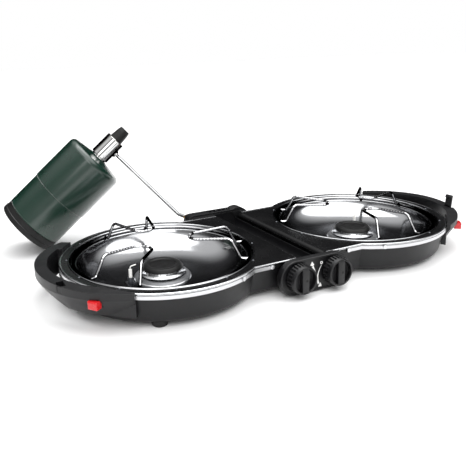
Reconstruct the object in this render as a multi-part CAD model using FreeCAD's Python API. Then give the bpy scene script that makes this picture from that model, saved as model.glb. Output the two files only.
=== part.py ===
"""Folding camp stove with two burners: two round halves hinged to a central spine.

X runs along the stove, Y to the back, Z up. The origin lies under the middle of the spine,
on the ground. The fuel cylinder hangs on a rigid pipe behind the left half.
"""
import FreeCAD
import Part
import math
import os

V = FreeCAD.Vector
UP = V(0, 0, 1)

# Driving dimensions, in millimetres and degrees
DECK_Z = 45.0               # top of both decks above the ground
BOWL_X = 158.0              # bowl centres, left and right of the middle
OUTLINE_R = 131.5           # round outline of a half, about its bowl centre
BRIDGE_HALF = 107.0         # half the width of the neck between a round half and the spine
SHEET = 1.0                 # deck and bowl sheet
TRIM_H = 8.0                # depth of the bright skirt round a deck
TRIM_T = 1.3
FIT = 0.2                   # gap between two fixed pieces that sit side by side
RUN = 0.4                   # gap between pieces that move past each other

HINGE_X = 23.0              # fold axes, left and right of the middle
ROLL_R = 8.0                # rolled inner edge of a deck, about its fold axis
PIN_R = 2.0
PIN_GAP = 0.05              # running clearance of a knuckle on its pin
KNUCKLE_R = 4.5
KNUCKLE_LEN = 24.0
HINGE_LEN = 196.0           # length of each hinge pin

PAN_DEPTH = 39.5            # underside of a base pan below the deck
PAN_TAPER = 8.0             # the pan's wall leans in by this much
PAN_WALL = 1.8
PAN_ROUND = 7.0             # rounded lower edge of a pan
FOOT_R = 10.0
LEFT_FEET = ((294.5, 112.0), (174.5, 112.0), (55.0, 80.0))      # angle and radius of each
RIGHT_FEET = ((65.5, 112.0), (185.5, 112.0), (305.0, 80.0))
NECK_SCREW_X = 58.3         # screw in the bright strip beside the control panel

RIM_R = 118.0               # round hole in the deck
LEDGE_R = 110.0             # inner edge of the ledge that carries the grate
LEDGE_DROP = 5.0
BOWL_DEPTH = 33.5
BOWL_FLAT_R = 54.0

BURNER_CAP_R = 24.0
BURNER_RING_R = 29.0
BURNER_BASE_R = 38.0
BURNER_TOP_DROP = 16.0      # top of the burner cap below the deck
VENTURI_Y = -62.0
VENTURI_Z = 18.0
VENTURI_R = 6.5
JET_R = 3.0
LEFT_ELECTRODE = 183.0      # angle of each electrode round its burner
RIGHT_ELECTRODE = 45.0
ELECTRODE_H = 17.0          # length of an electrode's ceramic

WIRE_R = 2.0                # grate wire
GRATE_TOP = 22.0            # centre line of the pot supports above the deck
ARM_NOSE_R = 37.0
ARM_CORNER_R = 88.0
ARM_FOOT_ANGLE = 16.5
LEFT_ARM_ANGLES = (97.0, 217.0, 337.0)
RIGHT_ARM_ANGLES = (145.0, 265.0, 25.0)

GRIP_X = 44.0               # centre of the grip's outer arc, outwards from the bowl centre
GRIP_OUT_R = 117.0
GRIP_IN_R = 102.0
GRIP_TOP = 6.0              # top of a handle above the deck
GRIP_PARTING = 5.0          # joint line of the two handle shells below the deck
GRIP_DEPTH = 29.0
GRIP_END_FRONT = 55.0       # the handle ends this many degrees in front of the long axis
GRIP_END_BACK = 42.0
GRIP_OPEN_FRONT = 36.0      # the finger opening ends at this angle in front of the long axis
GRIP_OPEN_BACK = 29.0
ARCH_R = 62.0               # hollow under the grip
ARCH_DROP = 5.0             # top of that hollow below the joint line
GRIP_CROWN_R = 1500.0       # the handle's top falls away towards its ends

BUTTON_ANGLE = 38.0
BUTTON_W = 12.0
BUTTON_H = 9.5
BUTTON_OUT = 4.6
BUTTON_TRAVEL = 4.0
BUTTON_SEAT = 5.0           # length of button inside the handle at rest
POCKET_DEPTH = BUTTON_SEAT + BUTTON_TRAVEL + RUN
PLUNGER_R = 1.8
BUTTON_Z = DECK_Z - 10.0
IGNITER_R = 4.5
IGNITER_Z = DECK_Z - 13.0   # the plunger enters the lower part of the button

LATCH_W = 14.0
LATCH_UP = 18.6             # height of the latch tongue above the handle
LATCH_T = 3.0
LATCH_Y = -52.0
LATCH_ANGLE = 20.0          # where the latch sits round the handle's arc
LATCH_IN = 5.5              # the latch pivots this far inside the handle's outer arc
LATCH_LEAN = 2.0            # the tongue leans outwards by this much at its tip
LATCH_BARB = 2.0

SPINE_HALF = 26.0           # half the width of the spine below the hinges
SPINE_NECK = 14.0           # half its width between the hinges
SPINE_WALL = 2.0
TROUGH_R = 13.2
TROUGH_DEPTH = 24.5
SPINE_Y = 107.6             # the spine's end plates lie just outside the necks

PANEL_HALF_L = 52.0
PANEL_HALF_H = 22.4
PANEL_Z = 23.2
PANEL_Y = 117.0             # front face of the control panel
KNOB_X = 26.8
KNOB_Z = 24.5
KNOB_R = 19.0
KNOB_FACE_R = 16.5
KNOB_DEPTH = 15.0
STEM_R = 3.0
VALVE_Y0 = -SPINE_Y - 2.2   # back and front of a valve's body
VALVE_Y1 = -PANEL_Y + 3.0
VALVE_R = 8.0
MANIFOLD_Z = 13.5
MANIFOLD_R = 2.5
CROSS_R = 1.9
FEED_X = 20.0
FEED_Z = 20.0

REAR_X0 = -70.0
REAR_X1 = 36.0
REAR_TOP = 5.2
REAR_BOTTOM = 40.0
REAR_Y = 125.0
REAR_ROUND = 12.0
REAR_HUMP_X = 18.0          # low round hump in the rear housing's top
REAR_HUMP_UP = 2.4
REAR_HUMP_R = 20.0
REAR_SLOTS = 5

CYL_R = 49.2                # fuel cylinder
CYL_TILT = 41.6
CYL_YAW = -12.5
CYL_BASE = (-291.3, 230.4)
CYL_CUP_R = 48.8
CYL_CUP_ROUND = 2.0
CYL_CUP_H = 16.0
CYL_SHOULDER = 145.0
CYL_NECK = 158.0
CYL_SEAM = 73.5
CYL_WALL = 1.4
CUP_WALL = 1.6
CUP_FLOOR = 4.0
SHOULDER_R = 9.0            # rounded shoulder of the cylinder
THREAD_R = 12.5
REG_R = 15.2
REG_LEN = 37.0
REG_CAP_LEN = 21.0
PIPE_R = 2.6
PIPE_BEND = (-70.0, 142.0, 46.0)
INLET = (-58.0, 40.0)       # X and Z of the gas inlet on the back of the spine

HINGE_Z = DECK_Z - ROLL_R
PAN_Z = DECK_Z - PAN_DEPTH


def box(x0, x1, y0, y1, z0, z1):
    """A box given by its limits."""
    return Part.makeBox(x1 - x0, y1 - y0, z1 - z0, V(x0, y0, z0))


def rod(radius, start, end):
    """A round bar from start to end."""
    a, b = V(*start), V(*end)
    return Part.makeCylinder(radius, (b - a).Length, a, b - a)


def fuse(shapes):
    """All shapes in one, with leftover seams removed."""
    first, rest = shapes[0], shapes[1:]
    return first.fuse(rest).removeSplitter() if rest else first


def cut(shape, tools):
    """The shape without the tools."""
    return shape.cut(Part.makeCompound(tools)) if tools else shape


def revolve(points, centre=(0.0, 0.0)):
    """A solid of revolution about an upright axis; points are (radius, z)."""
    corners = [V(centre[0] + r, centre[1], z) for r, z in points]
    face = Part.Face(Part.makePolygon(corners + corners[:1]))
    return face.revolve(V(centre[0], centre[1], 0), UP, 360)


def polar(centre_x, radius, angle, z):
    """A point at an angle, in degrees, round an upright axis on the X axis."""
    a = math.radians(angle)
    return V(centre_x + radius * math.cos(a), radius * math.sin(a), z)


def soften(shape, radius, chosen):
    """Fillets the edges for which chosen(edge) is true."""
    edges = [e for e in shape.Edges if chosen(e)]
    return shape.makeFillet(radius, edges) if edges else shape


def flat_at(z):
    """Picks edges that lie level at height z."""
    def chosen(edge):
        box_ = edge.BoundBox
        return abs(box_.ZMin - z) < 1e-4 and abs(box_.ZMax - z) < 1e-4
    return chosen


def bent_path(points, bends):
    """Straight runs joined by tangent arcs, one bend radius for each inner point."""
    pts = [V(*p) for p in points]
    edges = []
    start = pts[0]
    for before, corner, after, radius in zip(pts, pts[1:], pts[2:], bends):
        inward = (before - corner).normalize()
        outward = (after - corner).normalize()
        half = inward.getAngle(outward) / 2
        reach = radius / math.tan(half)
        middle_dir = (inward + outward).normalize()
        centre = corner + middle_dir * (radius / math.sin(half))
        a = corner + inward * reach
        b = corner + outward * reach
        mid = centre - middle_dir * radius
        if (a - start).Length > 1e-6:
            edges.append(Part.LineSegment(start, a).toShape())
        edges.append(Part.Arc(a, mid, b).toShape())
        start = b
    edges.append(Part.LineSegment(start, pts[-1]).toShape())
    return Part.Wire(edges)


def bent_rod(points, bends, radius):
    """A round bar that follows a bent path."""
    path = bent_path(points, bends)
    run = V(*points[1]) - V(*points[0])
    section = Part.Wire(Part.makeCircle(radius, V(*points[0]), run))
    return path.makePipeShell([section], True, True)


def mirrored(shape):
    """The same piece on the other side of the stove."""
    return shape.mirror(V(0, 0, 0), V(1, 0, 0))


def outline(inset, z, height):
    """The plan of the right half, inset on every side, as a slab."""
    disc = Part.makeCylinder(OUTLINE_R - inset, height, V(BOWL_X, 0, z))
    w = BRIDGE_HALF - inset
    return fuse([disc, box(HINGE_X, BOWL_X, -w, w, z, z + height)])


def pan_form(inset, drop):
    """The tapered outer form of a base pan; inset and drop give its inner form."""
    top = DECK_Z - SHEET
    bottom = PAN_Z + drop
    height = top - bottom
    r_top = OUTLINE_R - TRIM_T - FIT - inset
    r_low = r_top - PAN_TAPER
    cone = Part.makeCone(r_low, r_top, height, V(BOWL_X, 0, bottom))
    w_top = BRIDGE_HALF - TRIM_T - FIT - inset
    w_low = w_top - PAN_TAPER
    x0 = SPINE_HALF + 1.5 + inset
    section = [V(x0, -w_low, bottom), V(x0, w_low, bottom), V(x0, w_top, top), V(x0, -w_top, top)]
    face = Part.Face(Part.makePolygon(section + section[:1]))
    neck = face.extrude(V(BOWL_X - x0, 0, 0))
    form = fuse([cone, neck])
    keep = box(x0, BOWL_X + 2 * OUTLINE_R, -2 * OUTLINE_R, 2 * OUTLINE_R, bottom, top)
    form = form.common(keep)
    return soften(form, max(PAN_ROUND - inset, 1.0), flat_at(bottom))


# The base pan: a tapered tray under each half


def base_pan():
    """The tray, with knuckles for the hinge pin and a hole for the venturi."""
    form = pan_form(0, 0).cut(pan_form(PAN_WALL, PAN_WALL))
    inner = SPINE_HALF + 1.5
    pieces = [form]
    for y in half_knuckles():
        barrel = rod(KNUCKLE_R, (HINGE_X, y, HINGE_Z), (HINGE_X, y + KNUCKLE_LEN, HINGE_Z))
        web = box(HINGE_X, inner + 1, y, y + KNUCKLE_LEN, HINGE_Z - KNUCKLE_R, HINGE_Z)
        pieces += [barrel, web]
    pan = fuse(pieces)
    reach = BRIDGE_HALF
    bore = rod(PIN_R + PIN_GAP, (HINGE_X, -reach, HINGE_Z), (HINGE_X, reach, HINGE_Z))
    mouth = rod(VENTURI_R + 1.0 + FIT, (HINGE_X, VENTURI_Y, VENTURI_Z),
                (inner + 3, VENTURI_Y, VENTURI_Z))
    return cut(pan, [bore, mouth, button_hole()])


def half_knuckles():
    """Where the knuckles of a half begin along its hinge."""
    return [-HINGE_LEN / 4 - KNUCKLE_LEN / 2, HINGE_LEN / 4 - KNUCKLE_LEN / 2]


def spine_knuckles():
    """Where the knuckles of the spine begin along each hinge."""
    first = -HINGE_LEN / 2
    return [first, -KNUCKLE_LEN / 2, HINGE_LEN / 2 - KNUCKLE_LEN]


def button_hole():
    """The hole in the pan wall behind a button, for the igniter."""
    return button_rod(IGNITER_R + 0.05, OUTLINE_R - 20, OUTLINE_R + 12)


# The deck: bright sheet with a skirt, a round hole and a rolled inner edge


def deck():
    """The cooktop sheet of the right half."""
    plate = outline(0, DECK_Z - TRIM_H, TRIM_H)
    plate = soften(plate, 1.5, lambda e: flat_at(DECK_Z)(e) and e.BoundBox.XMax > HINGE_X + 1)
    hollow = outline(TRIM_T, DECK_Z - TRIM_H - 1, TRIM_H + 1 - SHEET)
    behind = box(HINGE_X - 1, SPINE_HALF + 1.5, -BRIDGE_HALF - 1, BRIDGE_HALF + 1,
                 DECK_Z - TRIM_H - 1, DECK_Z - SHEET)
    hole = Part.makeCylinder(RIM_R, 3 * SHEET, V(BOWL_X, 0, DECK_Z - 2 * SHEET))
    sheet = cut(plate, [hollow, behind, hole])
    width = 2 * BRIDGE_HALF - 4
    outer = Part.makeCylinder(ROLL_R, width, V(HINGE_X, -width / 2, HINGE_Z), V(0, 1, 0))
    inner = Part.makeCylinder(ROLL_R - SHEET, width, V(HINGE_X, -width / 2, HINGE_Z), V(0, 1, 0))
    low = HINGE_Z + ROLL_R * 0.35
    sector = box(HINGE_X - ROLL_R - 1, HINGE_X, -BRIDGE_HALF, BRIDGE_HALF, low, DECK_Z + 1)
    return fuse([sheet, outer.cut(inner).common(sector)])


def bowl():
    """The drip bowl: a flange under the deck, a ledge for the grate, and a round dish."""
    top = DECK_Z - SHEET - FIT / 2
    ledge = DECK_Z - LEDGE_DROP
    floor = DECK_Z - BOWL_DEPTH
    lip = RIM_R - 0.8
    outside = [(RIM_R + 4, top), (lip, top), (lip - 1, ledge), (LEDGE_R, ledge)]
    steps = 8
    curve = []
    for i in range(1, steps + 1):
        a = math.radians(90.0 * i / steps)
        r = BOWL_FLAT_R + (LEDGE_R - BOWL_FLAT_R) * math.cos(a)
        curve.append((r, ledge - (ledge - floor) * math.sin(a)))
    upper = outside + curve + [(BURNER_RING_R - 8, floor)]
    wall = SHEET
    lower = [(r + (wall if z > floor + 1 else 0), z - wall) for r, z in upper]
    lower[0] = (RIM_R + 4, top - wall)
    return revolve(upper + lower[::-1], (BOWL_X, 0))


# The burner: body with venturi, ported ring and cap


def burner_body():
    """The cast chamber, its flat duct under the bowl and the round venturi mouth."""
    floor = DECK_Z - BOWL_DEPTH
    low = PAN_Z + PAN_WALL + FIT
    duct_top = floor - SHEET - FIT
    ring_z = DECK_Z - BURNER_TOP_DROP - 12.0
    base = Part.makeCone(BURNER_BASE_R, BURNER_BASE_R - 4, 4.0, V(BOWL_X, 0, floor + FIT))
    waist = Part.makeCylinder(BURNER_RING_R - 3, ring_z - floor - FIT, V(BOWL_X, 0, floor + FIT))
    throat = Part.makeCylinder(BURNER_RING_R - 8 - FIT, floor + 2 - low, V(BOWL_X, 0, low))
    turn_x = HINGE_X + 34
    duct = box(turn_x, BOWL_X, -14, 14, low, duct_top)
    side = box(turn_x, turn_x + 22, VENTURI_Y - 9, 14, low, duct_top)
    riser = rod(VENTURI_R + 1, (turn_x + 9, VENTURI_Y, low), (turn_x + 9, VENTURI_Y, VENTURI_Z))
    mouth_x = SPINE_HALF + 1.5
    mouth = rod(VENTURI_R + 1, (mouth_x, VENTURI_Y, VENTURI_Z),
                (turn_x + 9, VENTURI_Y, VENTURI_Z))
    body = fuse([base, waist, throat, duct, side, riser, mouth])
    bore = rod(VENTURI_R, (mouth_x - 1, VENTURI_Y, VENTURI_Z), (turn_x + 9, VENTURI_Y, VENTURI_Z))
    well = Part.makeCylinder(BURNER_RING_R - 11, 40, V(BOWL_X, 0, low + 2))
    return cut(body, [bore, well])


def burner_ring():
    """The bright ported ring, flaring downwards, with slots all round."""
    top = DECK_Z - BURNER_TOP_DROP - 3.0
    bottom = top - 9.0
    ring = Part.makeCone(BURNER_RING_R, BURNER_CAP_R, top - bottom, V(BOWL_X, 0, bottom))
    ring = ring.cut(Part.makeCylinder(BURNER_CAP_R - 4, 30, V(BOWL_X, 0, bottom - 5)))
    slots = []
    for i in range(24):
        slot = box(BURNER_CAP_R - 1.2, BURNER_RING_R + 2, -0.8, 0.8, bottom + 2.5, top - 1.5)
        slot.translate(V(BOWL_X, 0, 0))
        slot.rotate(V(BOWL_X, 0, 0), UP, 15.0 * i)
        slots.append(slot)
    return cut(ring, slots)


def burner_cap():
    """The dark cap on the ported ring."""
    under = DECK_Z - BURNER_TOP_DROP - 3.0
    cap = Part.makeCylinder(BURNER_CAP_R, 3.0, V(BOWL_X, 0, under))
    cap = soften(cap, 1.5, flat_at(under + 3.0))
    spigot = Part.makeCylinder(BURNER_CAP_R - 4 - FIT, 6.0, V(BOWL_X, 0, under - 6.0))
    dish = Part.makeCylinder(BURNER_CAP_R - 8, 1.0, V(BOWL_X, 0, under + 2.2))
    return cut(fuse([cap, spigot]), [dish])


def electrode_parts(angle):
    """The bracket on the bowl floor and the ceramic electrode that stands in it."""
    floor = DECK_Z - BOWL_DEPTH
    radius = BURNER_BASE_R + 7.0
    plate = box(-5.5, 5.5, -5, 5, floor, floor + 1.5)
    post = Part.makeCylinder(4.0, 8.0, V(0, 0, floor))
    hole = Part.makeCylinder(2.2 + FIT, 20.0, V(0, 0, floor + 1.5))
    bracket = cut(fuse([plate, post]), [hole])
    top = floor + 1.5 + ELECTRODE_H
    ceramic = Part.makeCylinder(2.2, ELECTRODE_H, V(0, 0, floor + 1.5))
    tip = bent_rod([(0, 0, top), (0, 0, top + 4.0), (-8, 0, top + 5.0)], [2.5], 0.7)
    electrode = fuse([ceramic, tip])
    for piece in (bracket, electrode):
        piece.translate(V(BOWL_X + radius, 0, 0))
        piece.rotate(V(BOWL_X, 0, 0), UP, angle)
    return bracket, electrode


# Handles


def long_axis_wedge(front, back, z0, z1):
    """An upright block that covers the given angles in front of and behind the long axis."""
    reach = 2 * OUTLINE_R
    corners = [V(BOWL_X, 0, z0), polar(BOWL_X, reach, -front, z0), V(BOWL_X + 2 * reach, 0, z0),
               polar(BOWL_X, reach, back, z0)]
    return Part.Face(Part.makePolygon(corners + corners[:1])).extrude(V(0, 0, z1 - z0))


def grip_plan(z0, z1):
    """The plan of a handle as an upright block with the finger opening cut out."""
    height = z1 - z0
    gx = BOWL_X + GRIP_X
    outer = Part.makeCylinder(GRIP_OUT_R, height, V(gx, 0, z0))
    inside = Part.makeCylinder(OUTLINE_R + FIT, height, V(BOWL_X, 0, z0))
    finger = Part.makeCylinder(GRIP_IN_R, height, V(gx, 0, z0))
    finger = finger.common(long_axis_wedge(GRIP_OPEN_FRONT, GRIP_OPEN_BACK, z0, z1))
    return cut(outer.common(long_axis_wedge(GRIP_END_FRONT, GRIP_END_BACK, z0, z1)),
               [inside, finger])


def upper_shell(side):
    """The upper half of a handle, crowned along its length, with the latch's slot."""
    z0 = DECK_Z - GRIP_PARTING
    top = DECK_Z + GRIP_TOP
    block = grip_plan(z0, top + 5)
    crown = Part.makeCylinder(GRIP_CROWN_R, 400, V(BOWL_X, 0, top - GRIP_CROWN_R), V(1, 0, 0))
    shell = block.common(crown)
    return cut(shell, latch_pockets()[:2 if side == "right" else 1])


def lower_shell():
    """The lower half of a handle: it leans in under the grip and meets the pan's wall."""
    z1 = DECK_Z - GRIP_PARTING
    z0 = DECK_Z - GRIP_DEPTH
    block = grip_plan(z0, z1)
    lean = Part.makeCone(GRIP_OUT_R - 15, GRIP_OUT_R, z1 - z0, V(BOWL_X + GRIP_X, 0, z0))
    arch = Part.makeCylinder(ARCH_R, 400, V(BOWL_X, 0, z1 - ARCH_DROP - ARCH_R), V(1, 0, 0))
    ends = long_axis_wedge(GRIP_END_FRONT, GRIP_END_BACK, z0, z1)
    bracket = outline(-FIT, z0, z1 - z0).common(ends).cut(pan_form(-FIT, 0))
    skirt = outline(-FIT, DECK_Z - TRIM_H - FIT, TRIM_H)
    shell = cut(fuse([block.common(lean), bracket]), [arch, skirt])
    igniter_hole = button_rod(IGNITER_R + FIT, OUTLINE_R - 12, OUTLINE_R + 10)
    return cut(shell, [button_block(RUN, POCKET_DEPTH, BUTTON_OUT + 1), igniter_hole])


def grip_radius(angle):
    """Distance from the bowl centre to the handle's outer arc at an angle."""
    a = math.radians(angle)
    return GRIP_X * math.cos(a) + math.sqrt(GRIP_OUT_R ** 2 - (GRIP_X * math.sin(a)) ** 2)


def button_block(gap, depth, outwards):
    """A button-sized block in the front of a handle, grown by a gap on its sides."""
    surface = grip_radius(BUTTON_ANGLE)
    w = BUTTON_W / 2 + gap
    h = BUTTON_H / 2 + gap
    block = box(surface - depth, surface + outwards, -w, w, BUTTON_Z - h, BUTTON_Z + h)
    block.translate(V(BOWL_X, 0, 0))
    block.rotate(V(BOWL_X, 0, 0), UP, -BUTTON_ANGLE)
    return block


def button_rod(radius, inner, outer):
    """A round bar along the igniter's axis, between two distances from the bowl centre."""
    return rod(radius, polar(BOWL_X, inner, -BUTTON_ANGLE, IGNITER_Z),
               polar(BOWL_X, outer, -BUTTON_ANGLE, IGNITER_Z))


def button():
    """The red push button, with the plunger that works the igniter."""
    block = button_block(0, BUTTON_SEAT, BUTTON_OUT)
    surface = grip_radius(BUTTON_ANGLE)
    out = polar(0, 1, -BUTTON_ANGLE, 0)
    far = BOWL_X * out.x + surface + BUTTON_OUT

    def front(edge):
        return all(abs(v.Point.x * out.x + v.Point.y * out.y - far) < 1e-3 for v in edge.Vertexes)
    block = soften(block, 1.5, front)
    back = surface - BUTTON_SEAT
    return fuse([block, button_rod(PLUNGER_R, LEDGE_R + 3.5 + BUTTON_TRAVEL, back + 0.5)])


def igniter():
    """The piezo igniter behind a button: a round barrel seated in the pan's wall."""
    end = grip_radius(BUTTON_ANGLE) - POCKET_DEPTH - FIT
    barrel = button_rod(IGNITER_R, LEDGE_R + 1.5, end)
    bore = button_rod(PLUNGER_R + 0.3, LEDGE_R + 3.0, end + 1)
    return cut(barrel, [bore])


# Latch on the right handle, and its slot in the left one


def latch_centre():
    """Where the latch pivots: X and Z."""
    x = BOWL_X + grip_radius(LATCH_ANGLE) * math.cos(math.radians(LATCH_ANGLE)) - LATCH_IN
    return x, DECK_Z + 1.0


def latch_pockets():
    """The slot for the latch tongue, and the hole for the pin it turns on."""
    x, z = latch_centre()
    w = LATCH_W / 2 + RUN
    slot = box(x - 3.0, x + 5.5, LATCH_Y - w, LATCH_Y + w, z - 4.0, DECK_Z + 40)
    pin = rod(PIN_R * 0.6, (x, LATCH_Y - w - 4, z), (x, LATCH_Y + w + 4, z))
    return [slot, pin]


def latch_hook():
    """The latch tongue: a plate that leans out a little, with a barb at its tip."""
    x, z = latch_centre()
    top = DECK_Z + GRIP_TOP + LATCH_UP
    y0, y1 = LATCH_Y - LATCH_W / 2, LATCH_Y + LATCH_W / 2
    inner, outer = x - LATCH_T / 2, x + LATCH_T / 2
    side = [(inner, z - 2), (outer, z - 2), (outer, DECK_Z + GRIP_TOP), (outer + LATCH_LEAN, top),
            (inner + LATCH_LEAN, top), (inner + LATCH_LEAN - LATCH_BARB, top - 3.5),
            (inner + LATCH_LEAN - 0.6, top - 4.2), (inner, DECK_Z + GRIP_TOP)]
    corners = [V(px, y0, pz) for px, pz in side]
    plate = Part.Face(Part.makePolygon(corners + corners[:1])).extrude(V(0, LATCH_W, 0))
    hub = rod(2.6, (x, y0, z), (x, y1, z))
    hook = fuse([plate, hub])
    return cut(hook, [rod(PIN_R * 0.6 + PIN_GAP, (x, y0 - 1, z), (x, y1 + 1, z))])


def latch_pin():
    """The pin that the latch turns on."""
    x, z = latch_centre()
    w = LATCH_W / 2 + RUN + 4
    return rod(PIN_R * 0.6, (x, LATCH_Y - w, z), (x, LATCH_Y + w, z))


# Feet, screws and rivets


def feet(angles_and_radii):
    """Three rubber feet under a pan."""
    pieces = []
    for angle, radius in angles_and_radii:
        at = polar(BOWL_X, radius, angle, 0)
        foot = Part.makeCone(FOOT_R - 1, FOOT_R, PAN_Z + 9, at)
        foot = foot.cut(pan_form(-0.04, -0.04))
        low = [s for s in foot.Solids if s.BoundBox.ZMin < 0.5]
        pieces.append(soften(low[0], 1.0, flat_at(0)))
    return Part.makeCompound(pieces)


def trim_screws():
    """Screws through the skirt into the pan's wall: heads outside the bright strip."""
    pieces = []
    z = DECK_Z - TRIM_H / 2 - 0.5
    for angle in (-113.0, 113.0):
        out = polar(0, 1, angle, 0)
        seat = polar(BOWL_X, OUTLINE_R + 0.02, angle, z)
        head = Part.makeCylinder(2.6, 1.4, seat, out)
        pieces.append(head)
    seat = V(NECK_SCREW_X, -BRIDGE_HALF - 0.02, z)
    pieces.append(Part.makeCylinder(2.6, 1.4, seat, V(0, -1, 0)))
    return Part.makeCompound(pieces)


def rim_rivets(offset):
    """Small domed rivets through the deck round the bowl."""
    pieces = []
    for i in range(12):
        at = polar(BOWL_X, RIM_R + 3.6, offset + 30.0 * i, DECK_Z)
        ball = Part.makeSphere(2.0, at - V(0, 0, 1.2))
        pieces.append(ball.common(Part.makeCylinder(3, 2, at)))
    return Part.makeCompound(pieces)


# Grates


def grate(angles):
    """A wire ring with three pot supports bent from one wire each."""
    ring_r = (RIM_R + LEDGE_R) / 2 - 0.5
    z = DECK_Z - LEDGE_DROP + WIRE_R + FIT
    ring = Part.makeTorus(ring_r, WIRE_R, V(BOWL_X, 0, z))
    top = DECK_Z + GRATE_TOP
    foot_w = ring_r * math.sin(math.radians(ARM_FOOT_ANGLE))
    foot_x = ring_r * math.cos(math.radians(ARM_FOOT_ANGLE))
    right = [(foot_x - 0.5, foot_w, z + 0.3), (foot_x - 9.0, foot_w - 1.5, z + 0.2),
             (ARM_CORNER_R, 26.0, top), (ARM_NOSE_R + 6, 13.0, top - 3.0),
             (ARM_NOSE_R, 5.0, top - 3.0)]
    left = [(x, -w, h) for x, w, h in right[::-1]]
    pieces = [ring]
    for angle in angles:
        arm = bent_rod(right + left, [4.0, 9.0, 6.0, 4.0, 4.0, 6.0, 9.0, 4.0], WIRE_R)
        arm.translate(V(BOWL_X, 0, 0))
        arm.rotate(V(BOWL_X, 0, 0), UP, angle)
        pieces.append(arm)
    return fuse(pieces)


# The spine between the halves


def spine_housing():
    """The trough, its side walls, the hinge lugs and the end plates."""
    shoulder = HINGE_Z - ROLL_R - 1.0
    top = HINGE_Z - 0.5
    block = fuse([box(-SPINE_HALF, SPINE_HALF, -SPINE_Y, SPINE_Y, 2.5, shoulder),
                  box(-SPINE_NECK, SPINE_NECK, -SPINE_Y, SPINE_Y, shoulder - 1, top)])
    trough_z = DECK_Z - TROUGH_DEPTH + TROUGH_R
    trough = rod(TROUGH_R, (0, -SPINE_Y - 1, trough_z), (0, SPINE_Y + 1, trough_z))
    mouth = box(-TROUGH_R, TROUGH_R, -SPINE_Y - 1, SPINE_Y + 1, trough_z, top + 1)
    inside_w = SPINE_HALF - SPINE_WALL
    inside = box(-inside_w, inside_w, -SPINE_Y + 2, SPINE_Y - 2, 0, shoulder - SPINE_WALL)
    inside = inside.cut(rod(TROUGH_R + SPINE_WALL, (0, -SPINE_Y, trough_z), (0, SPINE_Y, trough_z)))
    lugs = []
    for y in spine_knuckles():
        for side in (-1, 1):
            x = side * HINGE_X
            barrel = rod(KNUCKLE_R, (x, y, HINGE_Z), (x, y + KNUCKLE_LEN, HINGE_Z))
            stand = box(x - 2.4, x + 2.4, y, y + KNUCKLE_LEN, shoulder - 0.5, HINGE_Z)
            lugs += [barrel, stand]
    front = stadium(PANEL_HALF_L - 3, PANEL_HALF_H - 3, -SPINE_Y - 2, -SPINE_Y, PANEL_Z)
    rear = rear_form(3.0, SPINE_Y, SPINE_Y + 2)
    shell = cut(fuse([block, front, rear] + lugs), [trough, mouth, inside])
    holes = []
    for side in (-1, 1):
        x = side * HINGE_X
        holes.append(rod(PIN_R, (x, -HINGE_LEN / 2, HINGE_Z), (x, HINGE_LEN / 2, HINGE_Z)))
        holes.append(rod(JET_R + FIT, (side * inside_w, VENTURI_Y, VENTURI_Z),
                         (side * (SPINE_HALF + 1), VENTURI_Y, VENTURI_Z)))
        holes.append(rod(1.8, (side * FEED_X, -SPINE_Y - 3, FEED_Z),
                         (side * FEED_X, -SPINE_Y + 3, FEED_Z)))
    for y in (-SPINE_Y, SPINE_Y):
        holes.append(rod(2.7, (0, y - 3, MANIFOLD_Z), (0, y + 3, MANIFOLD_Z)))
    return cut(shell, holes)


def spine_base():
    """The flat plate that closes the spine underneath."""
    return box(-SPINE_HALF, SPINE_HALF, -SPINE_Y, SPINE_Y, 0, 2.5 - 0.02)


def stadium(half_l, half_h, y0, y1, z):
    """An upright plate with round ends, between two Y positions."""
    mid = half_l - half_h
    plate = [rod(half_h, (x, y0, z), (x, y1, z)) for x in (-mid, mid)]
    plate.append(box(-mid, mid, y0, y1, z - half_h, z + half_h))
    return fuse(plate)


def control_panel():
    """The front moulding that carries both knobs."""
    y_back = -SPINE_Y - 2 - 0.02
    outer = stadium(PANEL_HALF_L, PANEL_HALF_H, -PANEL_Y, -SPINE_Y, PANEL_Z)
    outer = soften(outer, 1.5, lambda e: abs(e.BoundBox.YMax + PANEL_Y) < 1e-4)
    seat = stadium(PANEL_HALF_L - 3 + FIT, PANEL_HALF_H - 3 + FIT, y_back, 0, PANEL_Z)
    inside = stadium(PANEL_HALF_L - 5, PANEL_HALF_H - 5, -PANEL_Y + 2.5, 0, PANEL_Z)
    dish = stadium(PANEL_HALF_L - 3, PANEL_HALF_H - 3, -PANEL_Y - 1, -PANEL_Y + 0.8, PANEL_Z)
    stems = [rod(STEM_R + 1.5, (s * KNOB_X, -PANEL_Y - 1, KNOB_Z), (s * KNOB_X, 0, KNOB_Z))
             for s in (-1, 1)]
    return cut(outer, [seat, inside, dish] + stems)


def rear_form(inset, y0, y1):
    """The rear housing's round-cornered form, seen from behind, as an upright slab."""
    x0, x1 = REAR_X0 + inset, REAR_X1 - inset
    z0, z1 = DECK_Z - REAR_BOTTOM + inset, DECK_Z + REAR_TOP - inset
    slab = box(x0, x1, y0, y1, z0, z1)
    r = REAR_ROUND - inset

    def along_y(edge):
        b = edge.BoundBox
        return b.YLength > 0.5 and b.XLength < 1e-6 and b.ZLength < 1e-6
    return soften(slab, r, along_y)


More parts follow.
